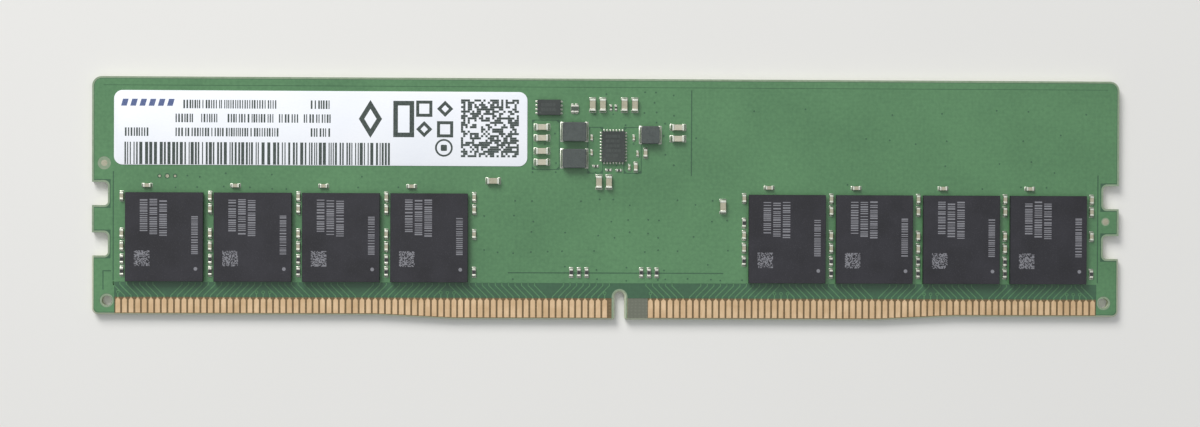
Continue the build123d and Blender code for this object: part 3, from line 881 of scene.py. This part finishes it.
def build_chips(node, terminal_share, materials, reach):
    """Capacitors or resistors of one kind: bodies, terminals and solder as three pieces. A resistor
    has a second material, for the glaze on its top."""
    bodies, terminals, solder = Solids(), Solids(), Solids()
    for box in solids_of(node + "_bodies"):
        low, high = box
        wall = low.z - FRONT
        size = high - low
        along_y = size.y > size.x
        length, width = sorted((size.x + 2 * wall, size.y + 2 * wall))[::-1]
        height = size.z + 2 * wall
        place = turned(box, along_y)
        bodies.matrix = terminals.matrix = place
        soft = min(0.05, width * 0.08)
        half, body_half = length / 2, width / 2 - wall
        core = rectangle(wall - half, -body_half, half - wall, body_half, soft, 2)
        bodies.loft(core, rounded_levels(wall, height - wall, soft))
        band = length * terminal_share
        if len(materials) > 1:
            glaze_half, glaze_side = half - band - 0.02, body_half - wall
            glaze = rectangle(-glaze_half, -glaze_side, glaze_half, glaze_side)
            bodies.slab(glaze, height - 2 * wall, height - wall * 0.4, 0.01, 1)
        for side in (-1, 1):
            ends = sorted((side * half, side * (half - band)))
            cap = rectangle(ends[0], -width / 2, ends[1], width / 2, soft * 1.3, 3)
            terminals.loft(cap, rounded_levels(0.0, height, soft * 1.3))
            solder_end(solder, place, side, length, width, height, reach, 0.72)
    make_piece(node + "_ceramics", bodies, materials, [node + "_bodies"])
    make_piece(node + "_end_caps", terminals, [TIN], [node + "_terminals"])
    make_solder(node, solder)


def build_array():
    """The resistor array: a scored body with two wrapped terminals on each side."""
    body, caps, solder = Solids(), Solids(), Solids()
    low, high = node_box("resistor_array_body")
    wall = low.z - FRONT
    body.loft(rectangle(low.x, low.y, high.x, high.y, 0.04, 2), rounded_levels(low.z, high.z, 0.03))
    body.slab(rectangle(low.x + 0.02, low.y + 0.2, high.x - 0.02, high.y - 0.2), high.z - wall,
              high.z + wall * 0.6, 0.008, 1)
    middle_y = (low.y + high.y) / 2
    for box in solids_of("resistor_array_terminals"):
        cap_low, cap_high = box
        outline = rectangle(cap_low.x, cap_low.y, cap_high.x, cap_high.y, 0.05, 2)
        caps.loft(outline, rounded_levels(cap_low.z, cap_high.z, 0.04))
        side = 1 if cap_low.y > middle_y else -1
        depth, width = cap_high.y - cap_low.y, cap_high.x - cap_low.x
        solder_end(solder, turned(box, True), side, depth, width, cap_high.z - FRONT, 0.18, 0.7)
    name = "resistor_array"
    make_piece(name + "_ceramic", body, [ALUMINA, ARRAY_GLAZE], [name + "_body"])
    make_piece(name + "_end_caps", caps, [TIN], [name + "_terminals"])
    make_solder(name, solder)


def build_lead_solder(name):
    """Solder at the outer end of each lead of a leadless package."""
    body_low, body_high = node_box(name + "_body")
    solids = Solids()
    for low, high in solids_of(name + "_leads"):
        beyond = {(-1, 0): body_low.x - low.x, (1, 0): high.x - body_high.x,
                  (0, -1): body_low.y - low.y, (0, 1): high.y - body_high.y}
        (side_x, side_y), proud = max(beyond.items(), key=lambda item: item[1])
        if proud <= 0:
            continue
        length, width = high.x - low.x, high.y - low.y
        if side_y:
            length, width = width, length
        place = turned((low, high), bool(side_y))
        solder_end(solids, place, side_x or side_y, length, width, high.z - FRONT, 0.22, 0.9)
    make_solder(name, solids)


def build_inductors():
    """Moulded power inductors: pressed cores with softened edges, folded end plates and solder."""
    plates, solder, cores = Solids(), Solids(), []
    for number, node in enumerate(numbered("inductor_core", INDUCTOR_COUNT), start=1):
        low, high = node_box(node)
        cores.append((low + high) / 2)
        core = Solids()
        outline = rectangle(low.x, low.y, high.x, high.y, 0.22, 6)
        core.loft(outline, rounded_levels(low.z, high.z, 0.1))
        make_piece(f"inductor_body_{number}", core, [CORE], [node])
    wall, shoulder = 0.08, 0.12      # thickness of an end plate, and its step in from the foot
    for box in solids_of("inductor_terminals"):
        low, high = box
        middle = (low + high) / 2
        core = min(cores, key=lambda place: (place - middle).length)
        side = 1 if middle.x > core.x else -1
        start, end = (high.x - wall, high.x) if side > 0 else (low.x, low.x + wall)
        plates.loft(rectangle(start, low.y + shoulder, end, high.y - shoulder, 0.03, 2),
                    rounded_levels(low.z, high.z, 0.03))
        plates.loft(rectangle(low.x, low.y, high.x, high.y, 0.04, 2),
                    rounded_levels(low.z, low.z + wall, 0.02))
        length, width, height = high.x - low.x, high.y - low.y - 0.2, high.z - low.z
        solder_end(solder, turned(box, False), side, length, width, height, 0.24, 0.62)
    make_piece("inductor_end_plates", plates, [TIN], ["inductor_terminals"])
    make_solder("inductor", solder)


# ---- Label ----


def frame_mark(solids, outline, stroke, z):
    """A plain printed frame along an outline."""
    solids.pierced(outline, [moved_in(outline, stroke)], z - MARK_SINK, z + MARK_RISE, 0.002)


def box_outline(x, y, width, height):
    """A box round a point."""
    return rectangle(x - width / 2, y - height / 2, x + width / 2, y + height / 2)


def diamond(x, y, width, height):
    """A diamond round a point."""
    return [(x, y - height / 2), (x + width / 2, y), (x, y + height / 2), (x - width / 2, y)]


def build_label():
    """The paper label with softened edges, and a print of generic marks that say nothing."""
    low, high = LABEL_BOX
    paper = Solids()
    outline = rectangle(low.x, low.y, high.x, high.y, 1.1, 10)
    paper.loft(outline, [(low.z, 0), (high.z - 0.02, 0), (high.z - 0.006, 0.008), (high.z, 0.025)])
    make_piece("label_sheet", paper, [PAPER], ["label_paper"])
    rng = random.Random(LABEL_SEED)
    ink = Solids()
    left, bottom, z = low.x, low.y, high.z
    foot, top, wide, lean = bottom + 7.6, bottom + 8.5, 0.72, 0.26
    for index in range(6):
        x = left + 0.9 + index * 1.18
        slanted = [(x, foot), (x + wide, foot), (x + wide + lean, top), (x + lean, top)]
        mark(ink, slanted, z, paint=1)
    row_height = 1.1
    # Foot of each line of print above the label's foot, and where its words start and end.
    rows = {7.3: ((8.9, 20.7), (25.3, 27.8)),
            5.5: ((7.9, 10.2), (11.2, 13.4), (14.6, 20.4), (21.2, 23.6), (24.4, 27.8)),
            3.7: ((1.4, 4.4), (7.9, 21.1), (25.3, 28.0))}
    for base, words in rows.items():
        for start, end in words:
            tick_row(ink, left + start, end - start, bottom + base, row_height, z, rng)
    x = left + 1.35
    while x < left + 35.4:
        bar, gap = rng.choice((0.14, 0.2, 0.26, 0.4)), rng.choice((0.12, 0.14, 0.2, 0.34))
        mark(ink, rectangle(x, bottom + 0.06, x + bar, bottom + 2.95), z)
        x += bar + gap
    frame_mark(ink, diamond(left + 33.0, bottom + 6.05, 3.0, 4.9), 0.6, z)
    frame_mark(ink, box_outline(left + 37.3, bottom + 6.05, 2.7, 4.7), 0.6, z)
    for column, row_y, shape in ((39.95, 7.4, box_outline), (42.65, 7.4, diamond),
                                 (39.95, 4.75, diamond), (42.65, 4.75, box_outline)):
        frame_mark(ink, shape(left + column, bottom + row_y, 2.1, 2.1), 0.4, z)
    frame_mark(ink, circle(left + 42.5, bottom + 2.35, 1.15, 32), 0.24, z)
    mark(ink, rectangle(left + 42.1, bottom + 1.95, left + 42.9, bottom + 2.75, 0.12, 2), z)
    speckled_square(ink, left + 44.7, bottom + 1.15, 7.5, 26, z, rng, 0.56)
    make_piece("label_marks", ink, [INK, BLUE_INK])


# ---- Floor, light and camera ----


def build_floor():
    """A plain pale floor just under the module."""
    size, drop = 2.5, 0.02 * MM
    mesh = bpy.data.meshes.new("floor")
    corners = [(x, y, 0) for x, y in rectangle(-size, -size, size, size)]
    mesh.from_pydata(corners, [], [range(4)])
    floor = add_object("floor", mesh)
    floor.location.z = -drop
    surface = Surface("pale_floor", specular=0.3)
    cloud = surface.noise(60, 2)
    colour = surface.blend(cloud, (228, 227, 224), (230, 229, 226))
    mesh.materials.append(surface.finish(colour, surface.spread(cloud, 0.6, 0.7)))


def add_light(name, place, size, power, colour):
    """A soft square light that faces the middle of the module. Its place and size are in metres."""
    lamp = bpy.data.lights.new(name, "AREA")
    lamp.size = size
    lamp.energy = power
    lamp.color = colour
    light = add_object(name, lamp)
    light.location = place
    light.rotation_euler = (-Vector(place)).to_track_quat("-Z", "Y").to_euler()
    light.visible_camera = False


def build_light():
    """Soft daylight from beyond the top edge and a little left, a pale ceiling and a pale sky."""
    add_light("window", (-0.32, 0.6, 0.6), size=0.45, power=6.4, colour=(1.0, 0.99, 0.97))
    add_light("ceiling", (0.0, 0.0, 1.1), size=1.4, power=4.5, colour=(0.98, 0.99, 1.0))
    world = bpy.data.worlds.new("studio")
    world.use_nodes = True
    background = world.node_tree.nodes["Background"]
    background.inputs["Color"].default_value = (0.86, 0.89, 0.93, 1)
    background.inputs["Strength"].default_value = 0.3
    bpy.context.scene.world = world


def build_camera():
    """The photograph's view: almost straight down, from about 350 mm."""
    tilt = (0.714, 1.789, -0.23)             # degrees about X, Y and Z
    turn = Euler([math.radians(angle) for angle in tilt], "XYZ").to_matrix()
    shift = Vector((1.051, 1.86, -350.0)) * MM      # the frame's origin, seen from the camera
    lens = bpy.data.cameras.new("camera")
    lens.sensor_width = 36.0
    lens.lens = 80.6
    lens.clip_start = 0.01
    camera = add_object("camera", lens)
    camera.matrix_world = Matrix.LocRotScale(turn.transposed() @ -shift, turn.transposed(), None)
    bpy.context.scene.camera = camera


paint_nodes(LAMINATE, "board_laminate")
paint_nodes(MASK_OVER_GLASS, "solder_mask_front", "solder_mask_rear")
paint_nodes(PAD_TIN, "bare_pads")
paint_nodes(GLUE, "label_adhesive")
paint_nodes(MOULD, *numbered("memory_chip", PACKAGE_COUNT))
paint_nodes(CONTROLLER_MOULD, "power_ic_body", "hub_ic_body")
paint_nodes(SUBSTRATE, *numbered("memory_substrate", PACKAGE_COUNT))
paint_nodes(SOLDER, *numbered("memory_balls", PACKAGE_COUNT))
paint_nodes(SILICON, "memory_dies", "controller_dies")
paint_nodes(TIN, "power_ic_leads", "hub_ic_leads")
paint_nodes(COPPER, "inductor_windings")
front_relief()
rear_relief()
build_contacts()
build_memory_marks()
build_controller_marks()
build_chips("input_capacitor", 0.2, [PALE_CERAMIC], 0.28)
build_chips("output_capacitor", 0.2, [CERAMIC], 0.2)
build_chips("decoupling_capacitor", 0.26, [CERAMIC], 0.2)
build_chips("tiny_capacitor", 0.27, [CERAMIC], 0.14)
build_chips("resistor", 0.24, [ALUMINA, GLAZE], 0.2)
build_chips("tiny_resistor", 0.25, [ALUMINA, GLAZE], 0.14)
build_array()
build_lead_solder("power_ic")
build_lead_solder("hub_ic")
build_inductors()
build_label()
build_floor()
build_light()
build_camera()
bpy.context.scene.view_settings.view_transform = "Standard"
